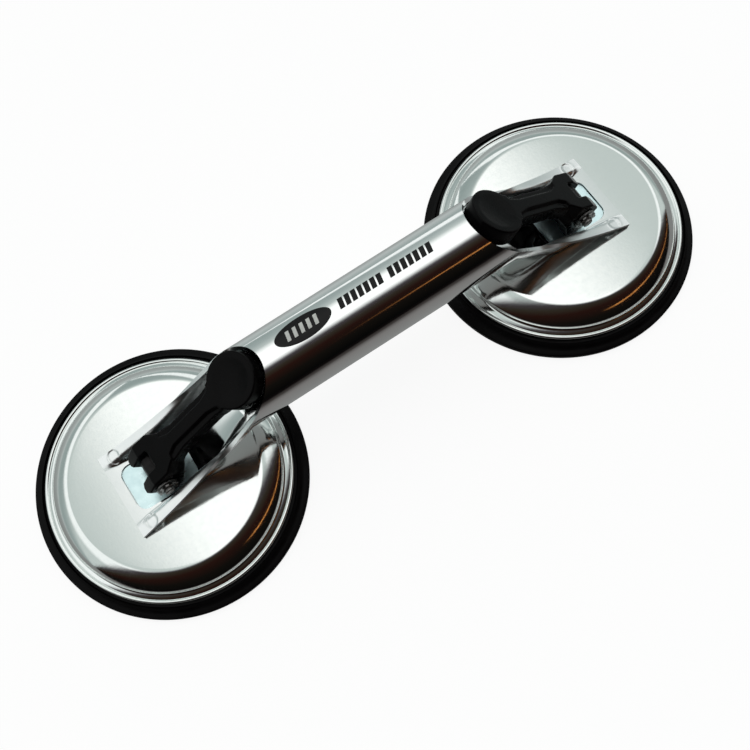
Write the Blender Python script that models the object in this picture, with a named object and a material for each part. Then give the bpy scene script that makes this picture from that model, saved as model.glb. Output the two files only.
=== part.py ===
"""Two-cup suction lifter: a formed steel tube handle on two vacuum cups, each locked by a cam lever.

Frame: metres, +Z up, +X along the handle, origin on the ground midway between the cups.
The levers lie in their locked position, folded down on the handle.
"""

import math

import bmesh
import bpy
from mathutils import Matrix, Vector

MM = 0.001
GAP = 0.3  # clearance between pieces that rest on each other

# Overall sizes, in millimetres
CUP_SPACING = 205.0  # centre to centre
PAD_RADIUS = 60.0
PLATE_TOP = 14.5  # height of the cup plate's flat top above the ground
TUBE_AXIS_HEIGHT = 46.4
TUBE_RADIUS = 15.0
SHEET = 1.6  # wall of the handle tube

# Pressed steel cup plate
PLATE_SHEET = 1.2
PLATE_FLAT_RADIUS = 40.8
SHOULDER_BENDS = ((2.0, 22.0), (20.0, 46.0), (2.0, 80.0))  # radius of each bend, slope where it ends
RIM_BEAD_RADIUS = 1.05
RIM_BEAD_REACH = 3.3  # bead centre beyond the shoulder
RIM_BEAD_DROP = 7.9  # bead centre below the flat top
RIM_GROOVE_REACH = 1.7
RIM_GROOVE_DROP = 7.3
STUD_HOLE_RADIUS = 4.4

# Moulded rubber pad
CAVITY_DEPTH = 3.6  # under the centre, with the lever locked
LIP_FACE_WIDTH = 11.0
LIP_STEP = 0.5  # between the lip's face and the cavity's sloping roof
LIP_ROUND = 0.8
LIP_EDGE_HEIGHT = 2.0
PAD_STRIP_WIDTH = 1.6  # rubber standing outside the steel rim
PAD_STRIP_HEIGHT = 1.6
PAD_STRIP_FLARE = 1.0
PAD_STRIP_ROUND = 0.5
WEB_THICKNESS = 2.8
WEB_OUTER_RADIUS = 34.0
WEB_STEP = 0.8
WEB_STEP_WIDTH = 2.0
BOSS_RADIUS = 20.0
BOSS_CREST_RADIUS = 17.5
BOSS_SLIP = 0.4  # the flexing ring of rubber between boss and web

# Steel insert, stud and pin
INSERT_RADIUS = 14.0
INSERT_THICKNESS = 2.0
INSERT_FLOOR = 8.3  # floor of its pocket in the rubber
STUD_SPIGOT_RADIUS = 2.8
STUD_FLANGE_RADIUS = 6.0
STUD_FLANGE_THICKNESS = 1.5
STUD_FLANGE_CHAMFER = 0.4
STUD_SHANK_RADIUS = 3.4
STUD_EYE_RADIUS = 4.6
STUD_EYE_WIDTH = 6.8
PIN_RADIUS = 2.0
PIN_HEAD_RADIUS = 3.6
PIN_HEAD_THICKNESS = 1.4
PIN_HEAD_CHAMFER = 0.5
PIN_CHAMFER = 0.3
PIN_TAIL = 1.0  # pin standing out beyond its clip
WASHER_RADIUS = 4.6
WASHER_THICKNESS = 0.6
CLIP_RADIUS = 4.0
CLIP_THICKNESS = 0.9

# Cam lever. U runs along the arm from the pin, V is square to it and up.
LEVER_SLOPE = math.radians(29.0)  # arm above the ground when locked
LEVER_LIFT = math.radians(60.0)  # locked to released
LOCKED_CAM_REACH = 10.3  # pin to the wear plate
RELEASED_CAM_REACH = 7.6
LEVER_TOP = 7.1
ARM_UNDERSIDE = -0.4
ARM_HALF_WIDTH = 5.2
ARM_START = 20.0
FORK_UNDERSIDE = -4.1
FORK_HALF_WIDTH = 9.5
FORK_END = 8.0
SHOULDER_HALF_WIDTH = 6.2
SHOULDER_END = 12.0
SHOULDER_HEEL = 2.0  # the underside's slope reaches this far past the shoulder
FORK_SLOT_CLEARANCE = 0.5
TIP_CHAMFER = 1.8
NOSE_START = 0.5  # from here to the tip the fork's top slopes down
NOSE_DROP = 3.6
THUMB_PAD_CENTRE = 53.2
THUMB_PAD_RADIUS = 10.75
THUMB_PAD_THICKNESS = 7.0
THUMB_PAD_HEEL = 2.0
CAM_FLAT = 3.0

# Handle ends: a flat foot on the cup plate, a rising trough, then a slanted mouth
TOE_REACH = 20.0  # toe beyond the cup's centre
TOE_HALF_WIDTH = 19.7
KINK_REACH = 41.3  # where the trough's rim meets the mouth, from the cup's centre
KINK_RISE = 1.5  # above the tube's axis
MOUTH_ANGLE = math.radians(40.0)
FOOT_FLAT_REACH = 13.0  # the foot lies flat up to here
FLOOR_RISE_EASE = 0.12  # share of the ramp that bends in, and that bends out
FLOOR_RISE_END = 51.3  # where the floor would level out with the tube's underside
RIM_EARLY_RISE = 0.55  # slope of the rim at the toe, as a share of its mean slope up to the kink
FLANGE_START = 0.80  # share of the half width where the trough's wall ends and its flange begins
WALL_START = 0.66
WALL_RISE = 0.96  # share of the rim's height that the wall takes
ROUNDING_START = 0.45  # share of the way to the kink where the square trough starts turning round
NOTCH_HALF_WIDTH = 10.6
NOTCH_OUTER = 15.6
NOTCH_INNER = 13.4
NOTCH_CORNER = 4.0
WEAR_SHEET = 0.8

# How far a hidden cutter stands out beyond what it cuts
OVERCUT = 1.0

# Mesh fineness
ROUND_STEPS = 48
SMALL_STEPS = 20
SECTION_STEPS = 20
FOOT_STATIONS = 12
MOUTH_STATIONS = 5

# Heights that follow
FOOT_UNDERSIDE = PLATE_TOP + GAP
WEAR_TOP = FOOT_UNDERSIDE + WEAR_SHEET
PIN_HEIGHT = WEAR_TOP + GAP + LOCKED_CAM_REACH
INSERT_BOTTOM = INSERT_FLOOR + GAP
FLANGE_BOTTOM = INSERT_BOTTOM + INSERT_THICKNESS + GAP
BORE_RADIUS = PIN_RADIUS + GAP
SLOT_HALF_WIDTH = STUD_EYE_WIDTH / 2 + FORK_SLOT_CLEARANCE
STRAIGHT_DOWN = math.radians(270.0)


def clear_scene():
    for obj in list(bpy.data.objects):
        bpy.data.objects.remove(obj, do_unlink=True)


def make_material(name, color, roughness, metallic):
    material = bpy.data.materials.new(name)
    material.use_nodes = True
    shader = material.node_tree.nodes["Principled BSDF"]
    shader.inputs["Base Color"].default_value = (*color, 1.0)
    shader.inputs["Roughness"].default_value = roughness
    shader.inputs["Metallic"].default_value = metallic
    return material


def make_materials():
    return {
        "chrome": make_material("chrome", (0.78, 0.80, 0.80), 0.08, 1.0),
        "plate": make_material("plate", (0.74, 0.77, 0.77), 0.28, 1.0),
        "zinc": make_material("zinc", (0.70, 0.80, 0.82), 0.35, 1.0),
        "steel": make_material("steel", (0.55, 0.55, 0.54), 0.30, 1.0),
        "rubber": make_material("rubber", (0.015, 0.015, 0.016), 0.55, 0.0),
        "plastic": make_material("plastic", (0.02, 0.02, 0.021), 0.38, 0.0),
    }


def smoothstep(low, high, value):
    share = min(max((value - low) / (high - low), 0.0), 1.0)
    return share * share * (3.0 - 2.0 * share)


def eased_ramp(low, high, value):
    """From 0 to 1 on a straight ramp that bends in and out."""
    ease = FLOOR_RISE_EASE
    share = min(max((value - low) / (high - low), 0.0), 1.0)
    if share > 0.5:
        return 1.0 - eased_ramp(low, high, low + high - value)
    return (share * share / (2 * ease) if share < ease else share - ease / 2) / (1 - ease)


def mix(start, end, share):
    return start + (end - start) * share


def finish_mesh(bm, name, mirrored=False):
    """Closes a bmesh in millimetres into a mesh in metres, mirrored across X for the right-hand cup."""
    bmesh.ops.scale(bm, vec=(-MM if mirrored else MM, MM, MM), verts=bm.verts)
    bmesh.ops.recalc_face_normals(bm, faces=bm.faces)
    mesh = bpy.data.meshes.new(name)
    bm.to_mesh(mesh)
    bm.free()
    mesh.shade_smooth()
    mesh.set_sharp_from_angle(angle=math.radians(35))
    return mesh


def add_piece(name, mesh, material, parent=None, location=(0, 0, 0), tilt=0.0):
    piece = bpy.data.objects.new(name, mesh)
    bpy.context.scene.collection.objects.link(piece)
    if material:
        mesh.materials.append(material)
    piece.parent = parent
    piece.location = Vector(location) * MM
    piece.rotation_euler = (0, tilt, 0)
    return piece


def add_cup_empty(name, x):
    empty = bpy.data.objects.new(name, None)
    bpy.context.scene.collection.objects.link(empty)
    empty.location = (x * MM, 0, 0)
    return empty


def add_boolean(piece, cutter, operation="DIFFERENCE"):
    modifier = piece.modifiers.new(cutter.name, "BOOLEAN")
    modifier.operation = operation
    modifier.object = cutter


def hide_helper(helper):
    helper.hide_render = True
    helper.display_type = "WIRE"
    return helper


def turned(profile, steps=ROUND_STEPS):
    """A solid of revolution about Z from a closed outline of (radius, height) points."""
    bm = bmesh.new()
    rings = []
    for radius, height in profile:
        if radius == 0:
            rings.append([bm.verts.new((0, 0, height))] * steps)
            continue
        angles = [2 * math.pi * i / steps for i in range(steps)]
        rings.append([bm.verts.new((radius * math.cos(a), radius * math.sin(a), height)) for a in angles])
    for ring, following in zip(rings, rings[1:] + rings[:1]):
        for i in range(steps):
            j = (i + 1) % steps
            corners = list(dict.fromkeys((ring[i], ring[j], following[j], following[i])))
            if len(corners) > 2:
                bm.faces.new(corners)
    return bm


def turn_to_y(bm):
    """Turns a piece made about Z so that its top end points along +Y."""
    bmesh.ops.rotate(bm, cent=(0, 0, 0), matrix=Matrix.Rotation(-math.pi / 2, 3, "X"), verts=bm.verts)
    return bm


def prism(outline, low, high, across):
    """Extrudes an outline from low to high. across names the extrusion axis, Y or Z."""
    bm = bmesh.new()
    if across == "Y":
        loops = [[bm.verts.new((a, level, b)) for a, b in outline] for level in (low, high)]
    else:
        loops = [[bm.verts.new((a, b, level)) for a, b in outline] for level in (low, high)]
    for loop in loops:
        bm.faces.new(loop)
    count = len(outline)
    for i in range(count):
        j = (i + 1) % count
        bm.faces.new((loops[0][i], loops[0][j], loops[1][j], loops[1][i]))
    return bm


def arc(centre, radius, start, end, steps):
    """Points of an arc, both ends included; angles in degrees."""
    angles = [math.radians(mix(start, end, i / steps)) for i in range(steps + 1)]
    return [(centre[0] + radius * math.cos(a), centre[1] + radius * math.sin(a)) for a in angles]


def rounded_rectangle(x_low, x_high, half_width, corner, steps=4):
    """Outline in X and Y, counterclockwise."""
    x_in = (x_low + corner, x_high - corner)
    y_in = half_width - corner
    outline = arc((x_in[1], y_in), corner, 0, 90, steps)
    outline += arc((x_in[0], y_in), corner, 90, 180, steps)
    outline += arc((x_in[0], -y_in), corner, 180, 270, steps)
    outline += arc((x_in[1], -y_in), corner, 270, 360, steps)
    return outline


def shoulder(offset, steps=3):
    """The cup plate's rounded shoulder from its lower end up to the flat, offset inwards."""
    points = [(PLATE_FLAT_RADIUS, PLATE_TOP - offset)]
    start = 0.0
    for bend, end in SHOULDER_BENDS:
        low_slope = math.radians(start)
        radius, height = points[-1]
        for i in range(1, steps + 1):
            slope = math.radians(mix(start, end, i / steps))
            reach = (bend - offset) * (math.sin(slope) - math.sin(low_slope))
            drop = (bend - offset) * (math.cos(low_slope) - math.cos(slope))
            points.append((radius + reach, height - drop))
        start = end
    return points[::-1]


def bead_centre():
    return (shoulder(0)[0][0] + RIM_BEAD_REACH, PLATE_TOP - RIM_BEAD_DROP)


def cup_plate_mesh(name):
    bead_x, bead_z = bead_centre()
    outline = [(STUD_HOLE_RADIUS, PLATE_TOP)]
    outline += shoulder(0)[::-1]
    groove = (shoulder(0)[0][0] + RIM_GROOVE_REACH, PLATE_TOP - RIM_GROOVE_DROP)
    outline.append(groove)
    outline += arc((bead_x, bead_z), RIM_BEAD_RADIUS, 115, -130, 6)
    outline.append((groove[0], groove[1] - PLATE_SHEET))
    outline += shoulder(PLATE_SHEET)
    outline.append((STUD_HOLE_RADIUS, PLATE_TOP - PLATE_SHEET))
    return finish_mesh(turned(outline), name)


def rubber_pad_mesh(name):
    bead_x, bead_z = bead_centre()
    shelf = bead_z - RIM_BEAD_RADIUS - GAP
    strip = bead_x + RIM_BEAD_RADIUS + PAD_STRIP_WIDTH
    strip_foot = shelf - PAD_STRIP_HEIGHT
    lip_inner = PAD_RADIUS - LIP_FACE_WIDTH
    web_top = CAVITY_DEPTH + WEB_THICKNESS
    body_top = shoulder(PLATE_SHEET + GAP)
    outline = [
        (BOSS_RADIUS + BOSS_SLIP, CAVITY_DEPTH),
        (lip_inner, LIP_STEP),
        (lip_inner + LIP_ROUND, 0.0),
        (PAD_RADIUS - LIP_ROUND, 0.0),
        (PAD_RADIUS, LIP_ROUND),
        (PAD_RADIUS, LIP_EDGE_HEIGHT),
        (PAD_RADIUS - LIP_ROUND, LIP_EDGE_HEIGHT + LIP_ROUND),
        (strip + PAD_STRIP_FLARE, strip_foot - PAD_STRIP_FLARE),
        (strip, strip_foot),
        (strip, shelf - PAD_STRIP_ROUND),
        (strip - PAD_STRIP_ROUND, shelf),
        (body_top[0][0], shelf),
    ]
    outline += body_top
    outline += [
        (WEB_OUTER_RADIUS + WEB_STEP_WIDTH, body_top[-1][1]),
        (WEB_OUTER_RADIUS, web_top + WEB_STEP),
        (BOSS_RADIUS + BOSS_SLIP, web_top),
    ]
    return finish_mesh(turned(outline), name)


def pad_centre_mesh(name):
    crest = INSERT_BOTTOM + INSERT_THICKNESS + GAP
    pocket = INSERT_RADIUS + GAP
    outline = [
        (0, CAVITY_DEPTH),
        (BOSS_RADIUS, CAVITY_DEPTH),
        (BOSS_RADIUS, CAVITY_DEPTH + WEB_THICKNESS),
        (BOSS_CREST_RADIUS, crest),
        (pocket, crest),
        (pocket, INSERT_FLOOR),
        (0, INSERT_FLOOR),
    ]
    return finish_mesh(turned(outline), name)


def pad_insert_mesh(name):
    hole = STUD_SPIGOT_RADIUS + GAP
    top = INSERT_BOTTOM + INSERT_THICKNESS
    outline = [(hole, INSERT_BOTTOM), (INSERT_RADIUS, INSERT_BOTTOM), (INSERT_RADIUS, top), (hole, top)]
    return finish_mesh(turned(outline), name)


def stud_mesh(name):
    flange_top = FLANGE_BOTTOM + STUD_FLANGE_THICKNESS
    outline = [
        (0, INSERT_BOTTOM),
        (STUD_SPIGOT_RADIUS, INSERT_BOTTOM),
        (STUD_SPIGOT_RADIUS, FLANGE_BOTTOM),
        (STUD_FLANGE_RADIUS, FLANGE_BOTTOM),
        (STUD_FLANGE_RADIUS, flange_top),
        (STUD_SHANK_RADIUS, flange_top + STUD_FLANGE_CHAMFER),
        (STUD_SHANK_RADIUS, PIN_HEIGHT - STUD_EYE_RADIUS / 2),
        (0, PIN_HEIGHT - STUD_EYE_RADIUS / 2),
    ]
    return finish_mesh(turned(outline, SMALL_STEPS), name)


def cylinder_along_y_mesh(name, radius, half_length):
    outline = [(0, -half_length), (radius, -half_length), (radius, half_length), (0, half_length)]
    return finish_mesh(turn_to_y(turned(outline, SMALL_STEPS)), name)


def pivot_pin_mesh(name):
    """The pin on its own axis: head at +Y, plain end at -Y."""
    head_face = FORK_HALF_WIDTH + GAP
    head_top = head_face + PIN_HEAD_THICKNESS
    tail = FORK_HALF_WIDTH + 3 * GAP + WASHER_THICKNESS + CLIP_THICKNESS + PIN_TAIL
    outline = [
        (0, -tail),
        (PIN_RADIUS - PIN_CHAMFER, -tail),
        (PIN_RADIUS, PIN_CHAMFER - tail),
        (PIN_RADIUS, head_face),
        (PIN_HEAD_RADIUS, head_face),
        (PIN_HEAD_RADIUS, head_top - PIN_HEAD_CHAMFER),
        (PIN_HEAD_RADIUS - PIN_HEAD_CHAMFER, head_top),
        (0, head_top),
    ]
    return finish_mesh(turn_to_y(turned(outline, SMALL_STEPS)), name)


def ring_along_y_mesh(name, outer, near, thickness, dish=0.0):
    """A flat or slightly dished ring on the pin, from -near outwards along -Y."""
    outline = [
        (BORE_RADIUS, -near - thickness - dish),
        (outer, -near - thickness),
        (outer, -near),
        (BORE_RADIUS, -near - dish),
    ]
    return finish_mesh(turn_to_y(turned(outline, SMALL_STEPS)), name)


def wear_plate_outline():
    return rounded_rectangle(
        GAP - NOTCH_OUTER, NOTCH_INNER - GAP, NOTCH_HALF_WIDTH - GAP, NOTCH_CORNER - GAP
    )


def cam_profile(steps=8):
    """Cam edge in U and V, from the end face round to the locked flat.

    The distance from the pin to the wear plate falls evenly as the lever rises, so the cam is the
    envelope of lines whose distance from the pin grows evenly with their direction.
    """
    growth = (LOCKED_CAM_REACH - RELEASED_CAM_REACH) / LEVER_LIFT
    locked = STRAIGHT_DOWN - LEVER_SLOPE
    points = []
    for i in range(steps + 1):
        direction = locked - LEVER_LIFT * (1 - i / steps)
        reach = mix(RELEASED_CAM_REACH, LOCKED_CAM_REACH, i / steps)
        u = reach * math.cos(direction) - growth * math.sin(direction)
        v = reach * math.sin(direction) + growth * math.cos(direction)
        points.append((u, v))
    points.append((points[-1][0] - CAM_FLAT * math.sin(locked), points[-1][1] + CAM_FLAT * math.cos(locked)))
    return points


def lever_side_outline():
    tip = -RELEASED_CAM_REACH
    far_end = THUMB_PAD_CENTRE + THUMB_PAD_RADIUS
    pad_start = THUMB_PAD_CENTRE - THUMB_PAD_RADIUS
    outline = [(tip, LEVER_TOP - NOSE_DROP)]
    outline += cam_profile()
    outline += [
        (FORK_END, FORK_UNDERSIDE),
        (SHOULDER_END + SHOULDER_HEEL, ARM_UNDERSIDE),
        (pad_start, ARM_UNDERSIDE),
        (pad_start + THUMB_PAD_HEEL, LEVER_TOP - THUMB_PAD_THICKNESS),
        (far_end, LEVER_TOP - THUMB_PAD_THICKNESS),
        (far_end, LEVER_TOP),
        (NOSE_START, LEVER_TOP),
    ]
    return outline


def lever_plan_outline():
    """Outline of the lever from above: fork, shoulder, arm and round thumb pad."""
    start = 180 - math.degrees(math.asin(ARM_HALF_WIDTH / THUMB_PAD_RADIUS))
    half = [
        (-RELEASED_CAM_REACH - OVERCUT, FORK_HALF_WIDTH - TIP_CHAMFER),
        (-RELEASED_CAM_REACH + TIP_CHAMFER, FORK_HALF_WIDTH),
        (FORK_END, FORK_HALF_WIDTH),
        (SHOULDER_END, SHOULDER_HALF_WIDTH),
        (ARM_START, ARM_HALF_WIDTH),
    ]
    half += arc((THUMB_PAD_CENTRE, 0), THUMB_PAD_RADIUS, start, 0, 10)
    return half + [(u, -y) for u, y in reversed(half[:-1])]


def fork_slot_outline():
    inner = STUD_EYE_RADIUS + FORK_SLOT_CLEARANCE
    outer = -RELEASED_CAM_REACH - 2 * OVERCUT
    return [
        (outer, -SLOT_HALF_WIDTH),
        (inner, -SLOT_HALF_WIDTH),
        (inner, SLOT_HALF_WIDTH),
        (outer, SLOT_HALF_WIDTH),
    ]


def handle_mid_point(reach, share, rim_angle):
    """A point on the middle of the handle's wall, in Y and Z.

    reach is the distance from the cup's centre towards the middle of the handle. share runs from
    -1 at one rim, over 0 at the floor, to 1 at the other rim.
    """
    radius = TUBE_RADIUS - SHEET / 2
    angle = share * rim_angle
    if reach >= KINK_REACH:
        return radius * math.sin(angle), TUBE_AXIS_HEIGHT - radius * math.cos(angle)
    along = (reach + TOE_REACH) / (KINK_REACH + TOE_REACH)
    foot_height = FOOT_UNDERSIDE + SHEET / 2
    half_width = mix(TOE_HALF_WIDTH, radius * math.sin(rim_angle), along)
    kink_height = TUBE_AXIS_HEIGHT - radius * math.cos(rim_angle)
    rim_height = mix(foot_height, kink_height, along * mix(RIM_EARLY_RISE, 1.0, along))
    rise = eased_ramp(FOOT_FLAT_REACH, FLOOR_RISE_END, reach)
    rise /= eased_ramp(FOOT_FLAT_REACH, FLOOR_RISE_END, KINK_REACH)
    floor_height = mix(foot_height, TUBE_AXIS_HEIGHT - radius, rise)
    side = abs(share)
    wall = WALL_RISE * smoothstep(WALL_START, FLANGE_START, side)
    flange = (1 - WALL_RISE) * max(0.0, (side - FLANGE_START) / (1 - FLANGE_START))
    round_wall = (1 - math.cos(angle)) / (1 - math.cos(rim_angle))
    roundness = smoothstep(ROUNDING_START, 1.0, along)
    y = half_width * mix(share, math.sin(angle) / math.sin(rim_angle), roundness)
    return y, mix(floor_height, rim_height, mix(wall + flange, round_wall, roundness))


def handle_section(reach, rim_angle, offset):
    """Section points across the handle's wall, moved outwards by offset."""
    points = []
    step = 0.001
    for i in range(SECTION_STEPS + 1):
        share = -1 + 2 * i / SECTION_STEPS
        y, z = handle_mid_point(reach, share, rim_angle)
        y_before, z_before = handle_mid_point(reach, share - step, rim_angle)
        y_after, z_after = handle_mid_point(reach, share + step, rim_angle)
        along = Vector((y_after - y_before, z_after - z_before)).normalized()
        points.append((y + along.y * offset, z - along.x * offset))
    return points


def handle_stations():
    """Reach, rim angle and closed flag of each section of one end, from the toe to the closed tube."""
    radius = TUBE_RADIUS - SHEET / 2
    kink_angle = math.pi / 2 + math.asin(KINK_RISE / radius)
    stations = []
    for i in range(FOOT_STATIONS):
        reach = mix(-TOE_REACH, KINK_REACH, i / FOOT_STATIONS)
        stations.append((reach, kink_angle, False))
    for i in range(MOUTH_STATIONS + 1):
        angle = mix(kink_angle, math.pi, i / MOUTH_STATIONS)
        rise = -radius * math.cos(angle) - KINK_RISE
        stations.append((KINK_REACH + rise / math.tan(MOUTH_ANGLE), angle, i == MOUTH_STATIONS))
    return stations


def handle_mesh(name):
    """One loft from toe to toe: an open section at both ends, closed to a tube in between."""
    half = CUP_SPACING / 2
    stations = [(reach - half, reach, angle, closed) for reach, angle, closed in handle_stations()]
    stations += [(half - reach, reach, angle, closed) for x, reach, angle, closed in reversed(stations)]
    bm = bmesh.new()
    skins = []
    for x, reach, angle, closed in stations:
        rows = []
        for offset in (SHEET / 2, -SHEET / 2):
            row = [bm.verts.new((x, y, z)) for y, z in handle_section(reach, angle, offset)]
            if closed:
                bm.verts.remove(row[-1])
                row[-1] = row[0]
            rows.append(row)
        skins.append(rows)
    for (outer, inner), (outer_next, inner_next) in zip(skins, skins[1:]):
        for i in range(SECTION_STEPS):
            bm.faces.new((outer[i], outer[i + 1], outer_next[i + 1], outer_next[i]))
            bm.faces.new((inner[i], inner_next[i], inner_next[i + 1], inner[i + 1]))
        if outer[0] is not outer[-1] or outer_next[0] is not outer_next[-1]:
            for i in (0, -1):
                bm.faces.new((outer[i], outer_next[i], inner_next[i], inner[i]))
    for outer, inner in (skins[0], skins[-1]):
        for i in range(SECTION_STEPS):
            bm.faces.new((outer[i], outer[i + 1], inner[i + 1], inner[i]))
    return finish_mesh(bm, name)


def add_handle(materials, cups):
    handle = add_piece("handle_tube", handle_mesh("handle_tube"), materials["chrome"])
    for side, cup, mirrored in cups:
        outline = rounded_rectangle(-NOTCH_OUTER, NOTCH_INNER, NOTCH_HALF_WIDTH, NOTCH_CORNER)
        bm = prism(outline, FOOT_UNDERSIDE - OVERCUT, FOOT_UNDERSIDE + SHEET + OVERCUT, "Z")
        mesh = finish_mesh(bm, side + "_notch_cutter", mirrored)
        cutter = hide_helper(add_piece(side + "_notch_cutter", mesh, None, cup))
        add_boolean(handle, cutter)


def add_cup(materials, side, cup):
    add_piece(side + "_cup_plate", cup_plate_mesh(side + "_cup_plate"), materials["plate"], cup)
    add_piece(side + "_rubber_pad", rubber_pad_mesh(side + "_rubber_pad"), materials["rubber"], cup)


def add_wear_plate(materials, side, cup, mirrored):
    name = side + "_wear_plate"
    mesh = finish_mesh(prism(wear_plate_outline(), FOOT_UNDERSIDE, WEAR_TOP, "Z"), name, mirrored)
    plate = add_piece(name, mesh, materials["zinc"], cup)
    low, high = FOOT_UNDERSIDE - OVERCUT, WEAR_TOP + OVERCUT
    hole = [(0, low), (STUD_HOLE_RADIUS, low), (STUD_HOLE_RADIUS, high), (0, high)]
    cutter_mesh = finish_mesh(turned(hole, SMALL_STEPS), side + "_wear_hole_cutter")
    add_boolean(plate, hide_helper(add_piece(side + "_wear_hole_cutter", cutter_mesh, None, cup)))


def add_lift_stud(materials, side, cup):
    """The parts that rise and fall with the lever: rubber centre, insert, stud, pin and its retainers."""
    add_piece(side + "_pad_centre", pad_centre_mesh(side + "_pad_centre"), materials["rubber"], cup)
    add_piece(side + "_pad_insert", pad_insert_mesh(side + "_pad_insert"), materials["steel"], cup)
    stud = add_piece(side + "_lift_stud", stud_mesh(side + "_lift_stud"), materials["steel"], cup)
    pin_place = (0, 0, PIN_HEIGHT)
    eye_mesh = cylinder_along_y_mesh(side + "_eye_helper", STUD_EYE_RADIUS, STUD_EYE_WIDTH / 2)
    eye = hide_helper(add_piece(side + "_eye_helper", eye_mesh, None, cup, pin_place))
    add_boolean(stud, eye, "UNION")
    bore_mesh = cylinder_along_y_mesh(side + "_eye_bore_cutter", BORE_RADIUS, STUD_EYE_WIDTH)
    bore = hide_helper(add_piece(side + "_eye_bore_cutter", bore_mesh, None, cup, pin_place))
    add_boolean(stud, bore)
    washer_face = FORK_HALF_WIDTH + GAP
    clip_face = washer_face + WASHER_THICKNESS + GAP
    pin = pivot_pin_mesh(side + "_pivot_pin")
    washer = ring_along_y_mesh(side + "_pin_washer", WASHER_RADIUS, washer_face, WASHER_THICKNESS)
    clip = ring_along_y_mesh(side + "_pin_clip", CLIP_RADIUS, clip_face, CLIP_THICKNESS, GAP)
    for mesh in (pin, washer, clip):
        add_piece(mesh.name, mesh, materials["steel"], cup, pin_place)


def add_lever(materials, side, cup, mirrored):
    """The cam lever, with its origin on the pin's axis."""
    name = side + "_lever"
    tilt = LEVER_SLOPE if mirrored else -LEVER_SLOPE
    place = (0, 0, PIN_HEIGHT)
    wide = THUMB_PAD_RADIUS + OVERCUT
    body = finish_mesh(prism(lever_side_outline(), -wide, wide, "Y"), name, mirrored)
    lever = add_piece(name, body, materials["plastic"], cup, place, tilt)
    tall = LOCKED_CAM_REACH * 2
    plan = finish_mesh(prism(lever_plan_outline(), -tall, tall, "Z"), name + "_plan_helper", mirrored)
    slot = finish_mesh(prism(fork_slot_outline(), -tall, tall, "Z"), name + "_slot_cutter", mirrored)
    bore = cylinder_along_y_mesh(name + "_bore_cutter", BORE_RADIUS, wide)
    for mesh, operation in ((plan, "INTERSECT"), (slot, "DIFFERENCE"), (bore, "DIFFERENCE")):
        helper = hide_helper(add_piece(mesh.name, mesh, None, cup, place, tilt))
        add_boolean(lever, helper, operation)


def main():
    clear_scene()
    materials = make_materials()
    cups = []
    for side, x in (("left", -CUP_SPACING / 2), ("right", CUP_SPACING / 2)):
        cups.append((side, add_cup_empty(side + "_cup_axis", x), side == "right"))
    add_handle(materials, cups)
    for side, cup, mirrored in cups:
        add_cup(materials, side, cup)
        add_wear_plate(materials, side, cup, mirrored)
        add_lift_stud(materials, side, cup)
        add_lever(materials, side, cup, mirrored)


main()
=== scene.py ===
import math

import bmesh
import bpy
import numpy as np
from mathutils import Matrix, Vector


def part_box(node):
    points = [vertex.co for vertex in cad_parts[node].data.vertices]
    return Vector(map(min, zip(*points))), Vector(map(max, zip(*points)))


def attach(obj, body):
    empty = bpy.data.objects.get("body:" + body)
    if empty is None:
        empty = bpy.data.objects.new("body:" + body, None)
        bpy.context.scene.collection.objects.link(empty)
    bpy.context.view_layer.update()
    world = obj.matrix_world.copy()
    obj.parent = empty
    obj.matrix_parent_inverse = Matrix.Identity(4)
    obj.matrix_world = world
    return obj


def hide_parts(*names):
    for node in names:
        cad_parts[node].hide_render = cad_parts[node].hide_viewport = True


mm = 0.001

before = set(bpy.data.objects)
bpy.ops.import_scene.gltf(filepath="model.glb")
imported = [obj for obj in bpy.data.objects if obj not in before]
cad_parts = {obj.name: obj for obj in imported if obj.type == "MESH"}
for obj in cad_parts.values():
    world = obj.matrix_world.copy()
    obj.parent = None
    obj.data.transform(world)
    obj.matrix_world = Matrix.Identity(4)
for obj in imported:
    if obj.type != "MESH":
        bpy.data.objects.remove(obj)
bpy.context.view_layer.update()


def cupCentre(side):
    low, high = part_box(side + "_cup_plate")
    return (low.x + high.x) / 2


cups = {"left": cupCentre("left"), "right": cupCentre("right")}
pinHeight = sum(corner.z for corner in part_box("left_pivot_pin")) / 2
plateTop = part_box("left_cup_plate")[1].z
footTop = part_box("left_wear_plate")[1].z

print("frame loaded")


def newPiece(name, mesh, finish=None):
    piece = bpy.data.objects.new(name, mesh)
    bpy.context.scene.collection.objects.link(piece)
    if finish:
        mesh.materials.clear()
        mesh.materials.append(finish)
    return piece


def meshFrom(bm, name, smoothAngle=35):
    bmesh.ops.remove_doubles(bm, verts=bm.verts, dist=1e-7)
    bmesh.ops.recalc_face_normals(bm, faces=bm.faces)
    mesh = bpy.data.meshes.new(name)
    bm.to_mesh(mesh)
    bm.free()
    mesh.shade_smooth()
    mesh.set_sharp_from_angle(angle=math.radians(smoothAngle))
    return mesh


def bakeModifiers(piece, smoothAngle=35):
    graph = bpy.context.evaluated_depsgraph_get()
    made = bpy.data.meshes.new_from_object(piece.evaluated_get(graph))
    piece.modifiers.clear()
    piece.data = made
    made.shade_smooth()
    made.set_sharp_from_angle(angle=math.radians(smoothAngle))
    return piece


def smoothStep(low, high, value):
    share = np.clip((value - low) / (high - low), 0.0, 1.0)
    return share * share * (3.0 - 2.0 * share)


def between(start, end, share):
    return start + (end - start) * share


def arcPoints(centre, radius, startAngle, endAngle, steps):
    angles = [math.radians(between(startAngle, endAngle, i / steps)) for i in range(steps + 1)]
    return [(centre[0] + radius * math.cos(a), centre[1] + radius * math.sin(a)) for a in angles]


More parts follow.
